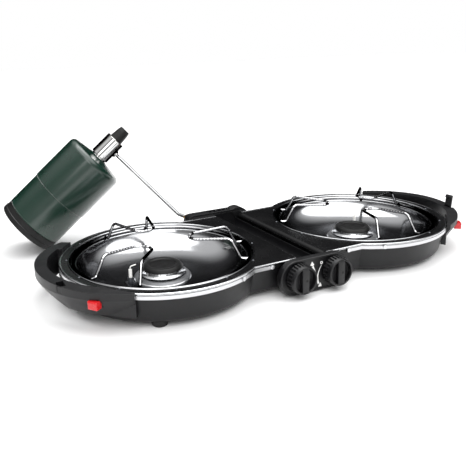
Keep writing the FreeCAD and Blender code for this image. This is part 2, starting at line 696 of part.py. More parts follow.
def rear_housing():
    """The moulding behind the trough, with an open rib grid in its top."""
    top = DECK_Z + REAR_TOP
    hump = rod(REAR_HUMP_R, (REAR_HUMP_X, SPINE_Y, top + REAR_HUMP_UP - REAR_HUMP_R),
               (REAR_HUMP_X, REAR_Y, top + REAR_HUMP_UP - REAR_HUMP_R))
    outer = fuse([rear_form(0, SPINE_Y, REAR_Y), hump])
    outer = soften(outer, 1.5, lambda e: abs(e.BoundBox.YMin - REAR_Y) < 1e-4)
    seat = rear_form(3.0 - FIT, 0, SPINE_Y + 2 + 0.02)
    inside = rear_form(5.0, 0, REAR_Y - 2.5)
    slots = []
    for i in range(REAR_SLOTS):
        x = REAR_X0 + 40 + 8.0 * i
        slots.append(box(x, x + 5.0, SPINE_Y + 4.5, REAR_Y - 4.5, DECK_Z - 6, top + 5))
    inlet = rod(4.6, (INLET[0], REAR_Y - 5, INLET[1]), (INLET[0], REAR_Y + 5, INLET[1]))
    return cut(outer, [seat, inside, inlet] + slots)


def hinge_pin():
    """One hinge rod, as long as the spine's knuckles."""
    return rod(PIN_R, (HINGE_X, -HINGE_LEN / 2, HINGE_Z), (HINGE_X, HINGE_LEN / 2, HINGE_Z))


def valve(side):
    """A brass gas valve: round body behind the panel and a flatted stem into the knob."""
    x = side * KNOB_X
    body = rod(VALVE_R, (x, VALVE_Y1, KNOB_Z), (x, VALVE_Y0, KNOB_Z))
    stem = rod(STEM_R, (x, -PANEL_Y - 8.0, KNOB_Z), (x, VALVE_Y1, KNOB_Z))
    return fuse([body, stem])


def gas_manifold():
    """The tube from the inlet, through the spine, to a cross tube below both valves."""
    y_valve = (VALVE_Y0 + VALVE_Y1) / 2
    y_rear = SPINE_Y + 7.0
    z = MANIFOLD_Z
    main = bent_rod([(INLET[0], REAR_Y - 2.0, INLET[1]), (INLET[0], y_rear, INLET[1] - 1),
                     (-28.0, y_rear, z + 2), (0, y_rear, z), (0, y_valve, z)],
                    [3.0, 8.0, 6.0], MANIFOLD_R)
    cross = rod(CROSS_R, (-KNOB_X - 3, y_valve, z), (KNOB_X + 3, y_valve, z))
    risers = [rod(1.6, (s * KNOB_X, y_valve, z), (s * KNOB_X, y_valve, KNOB_Z - VALVE_R + 0.1))
              for s in (-1, 1)]
    both = fuse([main, cross] + risers)
    return cut(both, [valve(-1), valve(1)])


def feed(side):
    """The small tube from the back of a valve to its jet in the spine's side wall."""
    jet_x = side * (SPINE_HALF + 0.8)
    start = (side * FEED_X, VALVE_Y0, FEED_Z)
    line = bent_rod([start, (side * FEED_X, VENTURI_Y, VENTURI_Z), (jet_x, VENTURI_Y, VENTURI_Z)],
                    [3.0], 1.6)
    jet = rod(JET_R, (jet_x - side * 3.0, VENTURI_Y, VENTURI_Z), (jet_x, VENTURI_Y, VENTURI_Z))
    return fuse([line, jet])


def knob(side):
    """A ribbed knob with a grip bar across its face."""
    x = side * KNOB_X
    y_back = -PANEL_Y
    y_face = y_back - KNOB_DEPTH
    body = Part.makeCone(KNOB_R, KNOB_FACE_R + 1.0, KNOB_DEPTH, V(x, y_back, KNOB_Z), V(0, -1, 0))
    body = soften(body, 1.0, lambda e: abs(e.BoundBox.YMax - y_face) < 1e-4)
    dish = Part.makeCylinder(KNOB_FACE_R - 1.5, 6.0, V(x, y_face - 1, KNOB_Z), V(0, 1, 0))
    bar = box(x - 4.5, x + 4.5, y_face, y_face + 6, KNOB_Z - KNOB_FACE_R, KNOB_Z + KNOB_FACE_R)
    dish = dish.cut(bar)
    grooves = []
    for i in range(30):
        g = rod(0.9, (x + KNOB_R + 0.2, y_back + 1, KNOB_Z),
                (x + KNOB_FACE_R + 1.6, y_face + 3.0, KNOB_Z))
        g.rotate(V(x, 0, KNOB_Z), V(0, 1, 0), 12.0 * i)
        grooves.append(g)
    mark = rod(1.3, (x + 2.0, y_face - 1, KNOB_Z), (x + 2.0, y_face + 2.5, KNOB_Z))
    socket = rod(STEM_R + PIN_GAP, (x, y_back + 1, KNOB_Z), (x, -PANEL_Y - 8.5, KNOB_Z))
    relief = Part.makeCylinder(KNOB_R + 1, 1.5, V(x, y_back + 1.2, KNOB_Z), V(0, -1, 0))
    return cut(body, [dish, mark, socket, relief] + grooves)


def spine_screws():
    """Screw heads under the spine's base plate, sunk into it."""
    pieces = []
    for x in (-18.0, 18.0):
        for y in (-90.0, 90.0):
            pieces.append(Part.makeCylinder(3.0, 1.5, V(x, y, 0.3)))
    return Part.makeCompound(pieces)


# Fuel cylinder, regulator and pipe, built along a tilted axis


def cylinder_axis():
    """The unit vector from the cylinder's base to its neck."""
    t, w = math.radians(CYL_TILT), math.radians(CYL_YAW)
    return V(math.cos(w) * math.cos(t), math.sin(w) * math.cos(t), math.sin(t))


def cylinder_origin():
    """The middle of the cup's underside, placed so that its edge touches the ground."""
    t = math.radians(CYL_TILT)
    corner = CYL_CUP_R - CYL_CUP_ROUND
    z = corner * math.cos(t) - CYL_CUP_ROUND * math.sin(t) + CYL_CUP_ROUND
    return V(CYL_BASE[0], CYL_BASE[1], z)


def tilted(shape):
    """Moves a piece from the upright axis at the origin to the cylinder's axis."""
    placed = shape.copy()
    turn = FreeCAD.Rotation(UP, cylinder_axis())
    placed.Placement = FreeCAD.Placement(cylinder_origin(), turn).multiply(placed.Placement)
    return placed


def arc_points(r_centre, z_centre, radius, a0, a1, steps=6):
    """Points on an arc in the (radius, z) plane."""
    points = []
    for i in range(steps + 1):
        a = math.radians(a0 + (a1 - a0) * i / steps)
        points.append((r_centre + radius * math.cos(a), z_centre + radius * math.sin(a)))
    return points


def cylinder_cup():
    """The black cup that the cylinder stands in."""
    corner = arc_points(CYL_CUP_R - CYL_CUP_ROUND, CYL_CUP_ROUND, CYL_CUP_ROUND, -90, 0)
    step = CYL_CUP_H * 0.45
    outside = [(0, 0)] + corner + [(CYL_CUP_R, step), (CYL_CUP_R - 0.9, step + 1.0),
                                   (CYL_CUP_R - 1.2, CYL_CUP_H)]
    inner_r = CYL_CUP_R - CUP_WALL
    inside = [(inner_r, CYL_CUP_H), (inner_r, CUP_FLOOR), (0, CUP_FLOOR)]
    return tilted(revolve(outside + inside))


def cylinder_shell():
    """The painted steel cylinder with its domed shoulder and the seam round its middle."""
    r = CYL_R
    in_cup = CYL_CUP_R - CUP_WALL - FIT
    low = [(0, CUP_FLOOR + 0.05), (in_cup - 1, CUP_FLOOR + 0.05), (in_cup, CUP_FLOOR + 1.5),
           (in_cup, CYL_CUP_H + 0.2)]
    side = [(r - 0.9, CYL_CUP_H + 2.0), (r - 0.9, CYL_SEAM - 1), (r, CYL_SEAM)]
    shoulder = arc_points(r - SHOULDER_R, CYL_SHOULDER, SHOULDER_R, 0, 66)
    dome = [(18.0, CYL_NECK - 1.0), (15.0, CYL_NECK), (0, CYL_NECK)]
    t = CYL_WALL
    inner = [(0, CYL_CUP_H + t), (r - t - 4, CYL_CUP_H + t), (r - t - 0.9, CYL_CUP_H + t + 3),
             (r - t - 0.9, CYL_SHOULDER), (r - 14, CYL_NECK - 9), (0, CYL_NECK - 9)]
    return tilted(revolve(low + side + shoulder + dome).cut(revolve(inner)))


def cylinder_valve():
    """The threaded neck of the cylinder."""
    neck = Part.makeCylinder(THREAD_R, 12.0, V(0, 0, CYL_NECK))
    return tilted(soften(neck, 0.8, flat_at(CYL_NECK + 12.0)))


def regulator_body():
    """The plated regulator that screws onto the cylinder's neck."""
    z0 = CYL_NECK + 1.5
    body = Part.makeCylinder(REG_R, REG_LEN, V(0, 0, z0))
    body = soften(body, 1.2, lambda e: e.BoundBox.ZLength < 1e-6)
    at = REG_R - 1.2
    flats = [box(at, at + 3, -REG_R, REG_R, z0 + 12, z0 + 30),
             box(-at - 3, -at, -REG_R, REG_R, z0 + 12, z0 + 30)]
    socket = Part.makeCylinder(THREAD_R + RUN, 12.0 + RUN, V(0, 0, z0 - 1.5))
    port = rod(PIPE_R + 0.02, (0, 0, z0 + 20), (40, 0, z0 + 20))
    port = port.common(box(REG_R - 5, 40, -10, 10, 0, 400))
    boss = rod(6.0, (0, 0, z0 + 20), (REG_R + 2.0, 0, z0 + 20))
    return tilted(cut(fuse([cut(body, flats), boss]), [socket, port]))


def regulator_cap():
    """The black tapered cap on the regulator."""
    z0 = CYL_NECK + 1.5 + REG_LEN
    cap = fuse([Part.makeCone(10.8, 9.4, REG_CAP_LEN - 6, V(0, 0, z0)),
                Part.makeCone(9.4, 8.2, 6.0, V(0, 0, z0 + REG_CAP_LEN - 6))])
    return tilted(soften(cap, 1.0, flat_at(z0 + REG_CAP_LEN)))


def pipe_start():
    """Where the pipe leaves the regulator, and the direction it leaves in."""
    turn = FreeCAD.Rotation(UP, cylinder_axis())
    h = CYL_NECK + 1.5 + 20
    start = cylinder_origin() + turn.multVec(V(REG_R - 4.5, 0, h))
    return start, turn.multVec(V(1, 0, 0))


def fuel_pipe():
    """The rigid steel pipe from the regulator down to the inlet behind the spine."""
    start, out = pipe_start()
    first = start + out * 12.0
    end = (INLET[0], REAR_Y + 4.5, INLET[1])
    near = (INLET[0], REAR_Y + 14.0, INLET[1])
    pts = [tuple(start), tuple(first), PIPE_BEND, near, end]
    return bent_rod(pts, [5.0, 10.0, 4.0], PIPE_R)


def gas_inlet():
    """The brass inlet nut on the back of the spine."""
    x, z = INLET
    nut = rod(6.5, (x, REAR_Y + 0.02, z), (x, REAR_Y + 9.0, z))
    spigot = rod(4.4, (x, REAR_Y - 2.0, z), (x, REAR_Y + 0.1, z))
    hole = rod(PIPE_R + 0.02, (x, REAR_Y + 4.5, z), (x, REAR_Y + 10, z))
    through = rod(2.52, (x, REAR_Y - 3, z), (x, REAR_Y + 0.0, z))
    return cut(fuse([nut, spigot]), [hole, through])


def half(side):
    """Every piece of one half, named for its side."""
    place = mirrored if side == "left" else (lambda shape: shape)
    spin = 180.0 - LEFT_ELECTRODE if side == "left" else RIGHT_ELECTRODE
    bracket, electrode = electrode_parts(spin)
    spots = LEFT_FEET if side == "left" else RIGHT_FEET
    pieces = {
        "base_pan": base_pan(), "deck": deck(), "bowl": bowl(), "burner_body": burner_body(),
        "burner_ring": burner_ring(), "burner_cap": burner_cap(), "electrode": electrode,
        "electrode_bracket": bracket, "handle_upper": upper_shell(side), "handle_lower": lower_shell(),
        "igniter": igniter(), "button": button(), "feet": feet(spots),
        "trim_screws": trim_screws(), "rim_rivets": rim_rivets(15.0), "hinge_pin": hinge_pin(),
    }
    angles = [180.0 - a for a in LEFT_ARM_ANGLES] if side == "left" else RIGHT_ARM_ANGLES
    pieces["grate"] = grate(angles)
    return {side + "_" + name: place(shape) for name, shape in pieces.items()}


def build():
    """Every node of the stove by name."""
    nodes = {}
    nodes.update(half("left"))
    nodes.update(half("right"))
    nodes["latch_hook"] = latch_hook()
    nodes["latch_pin"] = latch_pin()
    nodes["spine_housing"] = spine_housing()
    nodes["spine_base"] = cut(spine_base(), list(spine_screws().Solids))
    nodes["spine_screws"] = spine_screws()
    nodes["control_panel"] = control_panel()
    nodes["rear_housing"] = rear_housing()
    nodes["gas_manifold"] = gas_manifold()
    nodes["gas_inlet"] = gas_inlet()
    for name, side in (("left", -1), ("right", 1)):
        nodes[name + "_valve"] = valve(side)
        nodes[name + "_gas_feed"] = feed(side)
        nodes[name + "_knob"] = knob(side)
    nodes["fuel_pipe"] = fuel_pipe()
    nodes["regulator_body"] = regulator_body()
    nodes["regulator_cap"] = regulator_cap()
    nodes["cylinder_shell"] = cylinder_shell()
    nodes["cylinder_cup"] = cylinder_cup()
    nodes["cylinder_valve"] = cylinder_valve()
    return nodes


os.makedirs("parts", exist_ok=True)
for node, shape in build().items():
    solids = shape.Solids
    print(node, "solids", len(solids), "valid", shape.isValid(), "volume", round(shape.Volume))
    shape.exportStep("parts/" + node + ".step")
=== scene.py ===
"""Folding camp stove with two burners: its looks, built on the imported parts."""
import math

import bmesh
import bpy
from mathutils import Matrix, Vector


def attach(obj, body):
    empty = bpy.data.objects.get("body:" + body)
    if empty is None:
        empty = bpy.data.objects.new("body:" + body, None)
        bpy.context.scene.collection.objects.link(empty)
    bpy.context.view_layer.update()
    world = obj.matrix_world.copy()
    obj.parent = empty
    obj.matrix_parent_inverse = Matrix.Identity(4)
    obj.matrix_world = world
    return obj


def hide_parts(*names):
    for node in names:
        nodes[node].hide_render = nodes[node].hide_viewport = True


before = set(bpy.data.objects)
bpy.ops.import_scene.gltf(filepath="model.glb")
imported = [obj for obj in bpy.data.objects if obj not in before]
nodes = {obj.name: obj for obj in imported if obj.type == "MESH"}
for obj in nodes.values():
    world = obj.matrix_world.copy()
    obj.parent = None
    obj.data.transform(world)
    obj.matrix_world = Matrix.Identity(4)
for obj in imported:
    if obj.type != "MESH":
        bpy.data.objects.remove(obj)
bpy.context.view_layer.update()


# Studio: a pale seamless floor under soft light, and the camera low in front of the left half.
# The bright and the dark parts of the room round it give the polished metal its contrast.
def colour(code):
    """The linear colour of an sRGB hex code."""
    parts = [int(code[i:i + 2], 16) / 255 for i in (1, 3, 5)]
    return [p / 12.92 if p <= 0.04045 else ((p + 0.055) / 1.055) ** 2.4 for p in parts] + [1.0]


def add_node(owner, kind, links=(), **settings):
    """Adds one node; links holds (input, value or socket) pairs, and settings its own options."""
    tree = owner.node_tree
    node = tree.nodes.new(kind)
    for name, value in settings.items():
        setattr(node, name, value)
    for name, value in links:
        if isinstance(value, bpy.types.NodeSocket):
            tree.links.new(value, node.inputs[name])
        else:
            node.inputs[name].default_value = value
    return node


def material(name, code, metallic, rough, patch, grain=1.0, lump=0.0, **sockets):
    """A material whose roughness runs between two values over patches of a size in mm.

    lump is the height in mm of a fine bump whose grains are grain mm across.
    """
    made = bpy.data.materials.new(name)
    made.use_nodes = True
    shader = made.node_tree.nodes["Principled BSDF"]
    shader.inputs["Base Color"].default_value = colour(code)
    shader.inputs["Metallic"].default_value = metallic
    for socket, value in sockets.items():
        shader.inputs[socket.replace("_", " ")].default_value = value
    place = add_node(made, "ShaderNodeTexCoord").outputs["Object"]
    worn = add_node(made, "ShaderNodeTexNoise",
                    [("Vector", place), ("Scale", 1000 / patch), ("Detail", 3.0)])
    spread = add_node(made, "ShaderNodeMapRange",
                      [("Value", worn.outputs["Fac"]), ("From Min", 0.3), ("From Max", 0.7),
                       ("To Min", rough[0]), ("To Max", rough[1])])
    link(made, spread.outputs["Result"], "Roughness")
    if lump:
        fine = add_node(made, "ShaderNodeTexNoise",
                        [("Vector", place), ("Scale", 1000 / grain), ("Detail", 2.0)])
        bump = add_node(made, "ShaderNodeBump", [("Height", fine.outputs["Fac"]),
                                                 ("Distance", lump / 1000)])
        link(made, bump.outputs["Normal"], "Normal")
    return made


def link(owner, socket, name):
    """Feeds one input of a material's shader from another node."""
    owner.node_tree.links.new(socket, owner.node_tree.nodes["Principled BSDF"].inputs[name])


scene = bpy.context.scene
scene.view_settings.view_transform = "Standard"
camera = bpy.data.objects.new("camera", bpy.data.cameras.new("camera"))
scene.collection.objects.link(camera)
right = Vector((0.90529, -0.42341, -0.03425))
up = Vector((0.12028, 0.17818, 0.97662))
back = -Vector((0.40741, 0.88824, -0.21223))
turn = Matrix((right, up, back)).transposed().to_4x4()
camera.matrix_world = Matrix.Translation((-0.4148, -0.6474, 0.2980)) @ turn
camera.data.sensor_width = 36
camera.data.lens = 43.57
camera.data.shift_x = 0.0987
camera.data.shift_y = -0.1269
scene.camera = camera

floor_finish = material("studio_paper", "#f4f4f4", 0, (0.8, 0.9), 400)
grain = add_node(floor_finish, "ShaderNodeTexNoise", [("Scale", 3.0)])
floor_tone = add_node(floor_finish, "ShaderNodeValToRGB", [("Fac", grain.outputs["Fac"])])
floor_tone.color_ramp.elements[0].color = colour("#f2f2f2")
floor_tone.color_ramp.elements[1].color = colour("#f6f6f6")
link(floor_finish, floor_tone.outputs["Color"], "Base Color")
bm = bmesh.new()
bmesh.ops.create_grid(bm, x_segments=1, y_segments=1, size=12)
floor_mesh = bpy.data.meshes.new("floor")
bm.to_mesh(floor_mesh)
bm.free()
floor_mesh.materials.append(floor_finish)
floor = bpy.data.objects.new("floor", floor_mesh)
floor.location.z = -0.0004
scene.collection.objects.link(floor)


def soft_box(name, place, aim, width, height, power):
    """A rectangular studio light at a place, facing a point."""
    lamp = bpy.data.lights.new(name, "AREA")
    lamp.shape = "RECTANGLE"
    lamp.size = width
    lamp.size_y = height
    lamp.energy = power
    holder = bpy.data.objects.new(name, lamp)
    scene.collection.objects.link(holder)
    holder.location = place
    holder.rotation_euler = (Vector(aim) - Vector(place)).to_track_quat("-Z", "Y").to_euler()


soft_box("top_light", (0.3, 0.5, 1.7), (-0.1, 0, 0), 1.3, 0.9, 8)
soft_box("front_light", (-0.9, -1.6, 1.0), (0, 0, 0), 1.2, 0.7, 8)

sun = bpy.data.lights.new("sky_light", "SUN")
sun.energy = 3.0
sun.angle = 1.5
sun_holder = bpy.data.objects.new("sky_light", sun)
scene.collection.objects.link(sun_holder)
sun_holder.rotation_euler = (0.25, 0.12, 0)

world = bpy.data.worlds.new("studio")
scene.world = world
world.use_nodes = True
sky = world.node_tree.nodes["Background"]
around = add_node(world, "ShaderNodeTexCoord")
split = add_node(world, "ShaderNodeSeparateXYZ", [("Vector", around.outputs["Generated"])])
room = add_node(world, "ShaderNodeValToRGB", [("Fac", split.outputs["Z"])])
room.color_ramp.elements[0].position = 0.26
room.color_ramp.elements[0].color = colour("#161617")
room.color_ramp.elements[1].position = 0.70
room.color_ramp.elements[1].color = colour("#f4f4f4")
middle = room.color_ramp.elements.new(0.50)
middle.color = colour("#444446")
front = add_node(world, "ShaderNodeVectorMath", [(0, around.outputs["Generated"]),
                                                 (1, (-0.417, -0.909, 0.0))],
                 operation="DOT_PRODUCT")
near_wall = add_node(world, "ShaderNodeValToRGB", [("Fac", front.outputs["Value"])])
near_wall.color_ramp.elements[0].position = 0.15
near_wall.color_ramp.elements[0].color = colour("#000000")
near_wall.color_ramp.elements[1].position = 0.75
near_wall.color_ramp.elements[1].color = colour("#a8a8a8")
walls = add_node(world, "ShaderNodeMix", [(0, 1.0), (6, room.outputs["Color"]),
                                          (7, near_wall.outputs["Color"])],
                 data_type="RGBA", blend_type="LIGHTEN")
seen = add_node(world, "ShaderNodeLightPath")
behind = add_node(world, "ShaderNodeMix", [(0, seen.outputs["Is Camera Ray"]),
                                          (6, walls.outputs[2]), (7, colour("#ffffff"))],
                  data_type="RGBA")
world.node_tree.links.new(behind.outputs[2], sky.inputs["Color"])
sky.inputs["Strength"].default_value = 1.0


# Base pans and the spine's base plate: drawn steel trays, powder coated dark grey with a satin
# face. The coat has a fine orange peel about 1.5 mm across, which only softens its highlights.
def dress(finish, *names):
    """Gives CAD parts a material."""
    for name in names:
        for slot in nodes[name].material_slots:
            slot.material = finish


def both(name):
    """The names of a part on the left and the right half."""
    return "left_" + name, "right_" + name


powder_coat = material("powder_coated_steel", "#0e0e10", 0, (0.36, 0.46), 30, 1.5, 0.05,
                       Specular_IOR_Level=0.35)
dress(powder_coat, *both("base_pan"), "spine_base")


# Handles, control panel, spine and rear housing: injection-moulded glass-filled nylon, dark
# grey with a spark-eroded grain. The grain is drawn 1.2 mm coarse, so that it shows at all.
nylon = material("moulded_nylon", "#0f0f11", 0, (0.34, 0.46), 25, 1.2, 0.05, Specular_IOR_Level=0.4)
nylon_bump = nylon.node_tree.nodes["Principled BSDF"].inputs["Normal"].links[0].from_node
round_edge = add_node(nylon, "ShaderNodeBevel", [("Radius", 0.0009)], samples=6)
nylon.node_tree.links.new(round_edge.outputs["Normal"], nylon_bump.inputs["Normal"])
dress(nylon, *both("handle_upper"), *both("handle_lower"), "latch_hook", "control_panel",
      "rear_housing", "spine_housing", *both("igniter"))


# Decks: pressed steel with a black vitreous enamel, glossy, with a faint ripple of the glaze.
# A bright stainless trim is clipped round the edge: a round bead above a flat band.
bowl_x, outline_r, neck_w, hinge_x, hinge_z = 0.158, 0.1315, 0.107, 0.023, 0.037
deck_z = 0.045


def outline_wire(bm, inset, level, end):
    """The open outline of a half, inset all round, with two straight runs that end at X = end."""
    old = set(bm.edges)
    radius, width = outline_r - inset, neck_w - inset
    ring = bmesh.ops.create_circle(bm, radius=radius, segments=150,
                                   matrix=Matrix.Translation((bowl_x, 0, level)))["verts"]
    join = bowl_x - math.sqrt(radius ** 2 - width ** 2)
    loose = [e for e in bm.edges if e not in old]
    sliced = bmesh.ops.bisect_plane(bm, geom=ring + loose, plane_co=(join, 0, 0),
                                    plane_no=(1, 0, 0), clear_inner=True, dist=1e-6)
    ends = [v for v in sliced["geom_cut"] if isinstance(v, bmesh.types.BMVert)]
    runs = bmesh.ops.extrude_vert_indiv(bm, verts=ends)
    for vert in runs["verts"]:
        vert.co.x = end
    return [e for e in bm.edges if e not in old], runs["verts"]


def mirrored(bm, side):
    """Turns a piece of the right half into its left twin."""
    if side == "left":
        bmesh.ops.scale(bm, vec=(-1, 1, 1), verts=bm.verts)
    bmesh.ops.recalc_face_normals(bm, faces=bm.faces)
    return bm


def piece(name, bm, finish, body, replaces=(), sharp=35):
    """Makes a finished shape a piece that rides on a body."""
    mesh = bpy.data.meshes.new(name)
    bm.to_mesh(mesh)
    bm.free()
    mesh.shade_smooth()
    mesh.set_sharp_from_angle(angle=math.radians(sharp))
    mesh.materials.append(finish)
    made = bpy.data.objects.new(name, mesh)
    scene.collection.objects.link(made)
    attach(made, body)
    if replaces:
        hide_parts(*replaces)
    return made


enamel = material("black_enamel", "#0b0b0c", 0, (0.2, 0.3), 40, 8.0, 0.1, Specular_IOR_Level=0.35)
stainless = material("polished_stainless", "#cfd0d2", 1, (0.10, 0.22), 12)
brushed = material("brushed_stainless", "#d4d4d6", 1, (0.34, 0.46), 3, 0.4, 0.02)

hole_r, plate_thick, deck_roll = 0.1195, 0.0009, -1.15
bead = [(0.0034, 0.0440), (0.0031, 0.0448), (0.0022, 0.0451), (0.0010, 0.0450),
        (0.0002, 0.0445), (0.0, 0.0437), (0.0004, 0.0427), (0.0012, 0.0424), (0.0018, 0.0430)]
band = [(0.0008, 0.0419), (0.0003, 0.0416), (0.0003, 0.0377), (0.0009, 0.0372),
        (0.0014, 0.0376), (0.0014, 0.0417)]
skirt = [(0.0012, 0.0426), (0.0012, 0.0374), (0.0020, 0.0374), (0.0020, 0.0426)]
band_end = 0.0583
for side in ("left", "right"):
    bm = bmesh.new()
    edge, ends = outline_wire(bm, 0.0030, deck_z - 0.0004, hinge_x)
    inner = bm.edges.new(ends)
    bmesh.ops.create_circle(bm, radius=hole_r, segments=150,
                            matrix=Matrix.Translation((bowl_x, 0, deck_z - 0.0004)))
    bmesh.ops.triangle_fill(bm, use_beauty=True, edges=bm.edges[:])
    bmesh.ops.spin(bm, geom=[inner, *inner.verts], cent=(hinge_x, 0, hinge_z), axis=(0, 1, 0),
                   angle=deck_roll, steps=12)
    bmesh.ops.remove_doubles(bm, verts=bm.verts, dist=1e-6)
    bmesh.ops.recalc_face_normals(bm, faces=bm.faces)
    bmesh.ops.solidify(bm, geom=bm.faces[:], thickness=plate_thick)
    piece(side + "_deck_plate", mirrored(bm, side), enamel, side + "_half",
          [side + "_deck"], sharp=50)

    for part, profile, end, finish in (("bead", bead, hinge_x, stainless),
                                       ("band", band, band_end, brushed),
                                       ("skirt", skirt, hinge_x, enamel)):
        bm = bmesh.new()
        loops = [outline_wire(bm, inset, level, end)[0] for inset, level in profile]
        for first, second in zip(loops, loops[1:] + loops[:1]):
            bmesh.ops.bridge_loops(bm, edges=first + second)
        bmesh.ops.holes_fill(bm, edges=bm.edges[:], sides=len(profile))
        piece(side + "_deck_" + part, mirrored(bm, side), finish, side + "_half")


# Drip bowls: deep-drawn steel, bright chrome, with a rolled rim that lies on the deck, a ledge
# for the grate and a round dish. The chrome reflects less where it turns away from the eye.
drawn_chrome = material("drawn_chrome", "#b6b7b9", 1, (0.11, 0.16), 45,
                        Specular_Tint=colour("#3c3c3e"))


def turned(profile, steps=72, closed=False):
    """A shape turned about an upright axis from (radius, height) points."""
    bm = bmesh.new()
    line = [bm.verts.new((r, 0, z)) for r, z in profile]
    pairs = list(zip(line, line[1:])) + ([(line[-1], line[0])] if closed else [])
    edges = [bm.edges.new(pair) for pair in pairs]
    bmesh.ops.spin(bm, geom=line + edges, cent=(0, 0, 0), axis=(0, 0, 1), angle=math.tau,
                   steps=steps, use_merge=True)
    bmesh.ops.remove_doubles(bm, verts=bm.verts, dist=1e-6)
    bmesh.ops.recalc_face_normals(bm, faces=bm.faces)
    return bm


def smoothed(made, levels):
    """Finishes a piece with a subdivision surface."""
    finer = made.modifiers.new("smooth", "SUBSURF")
    finer.levels = finer.render_levels = levels


dish = [(0.1206, 0.0446), (0.1207, 0.0451), (0.1201, 0.0456), (0.1192, 0.0457), (0.1182, 0.0452),
        (0.1176, 0.0440), (0.1174, 0.0412), (0.1168, 0.0402), (0.1160, 0.0400), (0.1105, 0.0400),
        (0.1096, 0.0398), (0.1090, 0.0388), (0.1062, 0.0325), (0.0990, 0.0251), (0.0880, 0.0191),
        (0.0740, 0.0147), (0.0580, 0.0124), (0.0420, 0.0116), (0.0260, 0.0115), (0.0215, 0.0115)]
for side in ("left", "right"):
    bm = turned(dish, 64)
    bmesh.ops.translate(bm, vec=(bowl_x, 0, 0), verts=bm.verts)
    bowl = piece(side + "_drip_bowl", mirrored(bm, side), drawn_chrome, side + "_half",
                 [side + "_bowl"], sharp=180)
    smoothed(bowl, 2)


# Burners: a cast aluminium body on a flared plated collar, a turned steel ring with a row of
# small ports, and a black cast-iron cap with a shallow dish, held by gravity.
cast_alloy = material("cast_aluminium", "#77787a", 1, (0.4, 0.55), 6, 0.8, 0.08)
burner_steel = material("turned_steel", "#c4c5c7", 1, (0.14, 0.26), 9)
cast_iron = material("cast_iron", "#070707", 0, (0.35, 0.5), 8, 0.9, 0.06,
                     Specular_IOR_Level=0.25)
# The ports and the knobs' pointer holes are not cut: thin black discs are painted shade in their place.
hole_shade = material("painted_hole_shade", "#070707", 0, (0.8, 0.9), 3)
dress(cast_alloy, *both("burner_body"))
cap = [(0.0, 0.0276), (0.0170, 0.0277), (0.0181, 0.0287), (0.0198, 0.02895), (0.0238, 0.02890),
       (0.0247, 0.0284), (0.0272, 0.0252), (0.0276, 0.0244), (0.0270, 0.0240), (0.0, 0.0240)]
ring = [(0.0240, 0.0238), (0.0262, 0.0238), (0.0266, 0.0232), (0.0272, 0.0214), (0.0284, 0.0196),
        (0.0298, 0.0186), (0.0300, 0.0180), (0.0294, 0.0174), (0.0274, 0.0172)]
collar = [(0.0262, 0.0158), (0.0290, 0.0162), (0.0320, 0.0155), (0.0352, 0.0138), (0.0376, 0.0124),
          (0.0380, 0.0119), (0.0374, 0.0117)]
ports, port_r, port_ring, port_z, port_deep = 40, 0.00055, 0.0267, 0.0228, 0.0006
for side in ("left", "right"):
    for part, profile, finish, slot, old in (("cap", cap, cast_iron, "cap_black", "_burner_cap"),
                                             ("ring", ring, burner_steel, "burner_steel", "_burner_ring"),
                                             ("collar", collar, burner_steel, "burner_cast", None)):
        bm = turned(profile, 96)
        bmesh.ops.translate(bm, vec=(bowl_x, 0, 0), verts=bm.verts)
        piece(side + "_flame_" + part, mirrored(bm, side), finish, side + "_half",
              [side + old] if old else ())
    # Ports: thin black discs half sunk in the ring, painted shade of holes that are not cut.
    bm = bmesh.new()
    for i in range(ports):
        out = Matrix.Translation((bowl_x, 0, 0)) @ Matrix.Rotation(math.tau * i / ports, 4, "Z")
        seat = Matrix.Translation((port_ring, 0, port_z)) @ Matrix.Rotation(math.pi / 2, 4, "Y")
        bmesh.ops.create_cone(bm, cap_ends=True, segments=8, radius1=port_r, radius2=port_r,
                              depth=port_deep, matrix=out @ seat)
    piece(side + "_flame_ports", mirrored(bm, side), hole_shade, side + "_half")


# Ignition: a white glazed ceramic electrode in a dark zinc-plated bracket, on each bowl's floor
# beside the burner. The hinge pins and the latch's pin have the same zinc plate.
ceramic = material("glazed_ceramic", "#f6f5f1", 0, (0.15, 0.3), 5)
bracket_steel = material("zinc_plated_steel", "#5d5f63", 1, (0.25, 0.4), 7)
dress(ceramic, *both("electrode"))
dress(bracket_steel, *both("electrode_bracket"), *both("hinge_pin"), "latch_pin")


# Grates: 4 mm steel wire, chrome plated, with a paler painted middle and a painted dark reflection
# towards the edges of each wire. Each has a ring on the bowl's ledge and three bent pot supports,
# welded to it, with small crimped notches along their tops against slipping.
def painted_edge_reflection(finish, middle, rim):
    """Paints a polished tube or wire paler in the middle and darker where its surface turns away: painted
    reflection.
    """
    turned_away = add_node(finish, "ShaderNodeLayerWeight", [("Blend", 0.5)])
    painted_rim_ramp = add_node(finish, "ShaderNodeValToRGB", [("Fac", turned_away.outputs["Facing"])])
    painted_rim_ramp.color_ramp.elements[0].position = 0.12
    painted_rim_ramp.color_ramp.elements[0].color = colour(middle)
    painted_rim_ramp.color_ramp.elements[1].position = 0.36
    painted_rim_ramp.color_ramp.elements[1].color = colour(rim)
    link(finish, painted_rim_ramp.outputs["Color"], "Base Color")
    finish.node_tree.nodes["Principled BSDF"].inputs["Specular Tint"].default_value = colour(rim)


chrome = material("bright_chrome", "#dcdddf", 1, (0.04, 0.10), 28)
# The chrome's base colour carries a painted reflection: pale in the middle, dark towards the edges.
painted_edge_reflection(chrome, "#ececee", "#1b1b1d")
wire_r, ring_r, ring_z, top_z = 0.002, 0.1135, 0.0422, 0.067


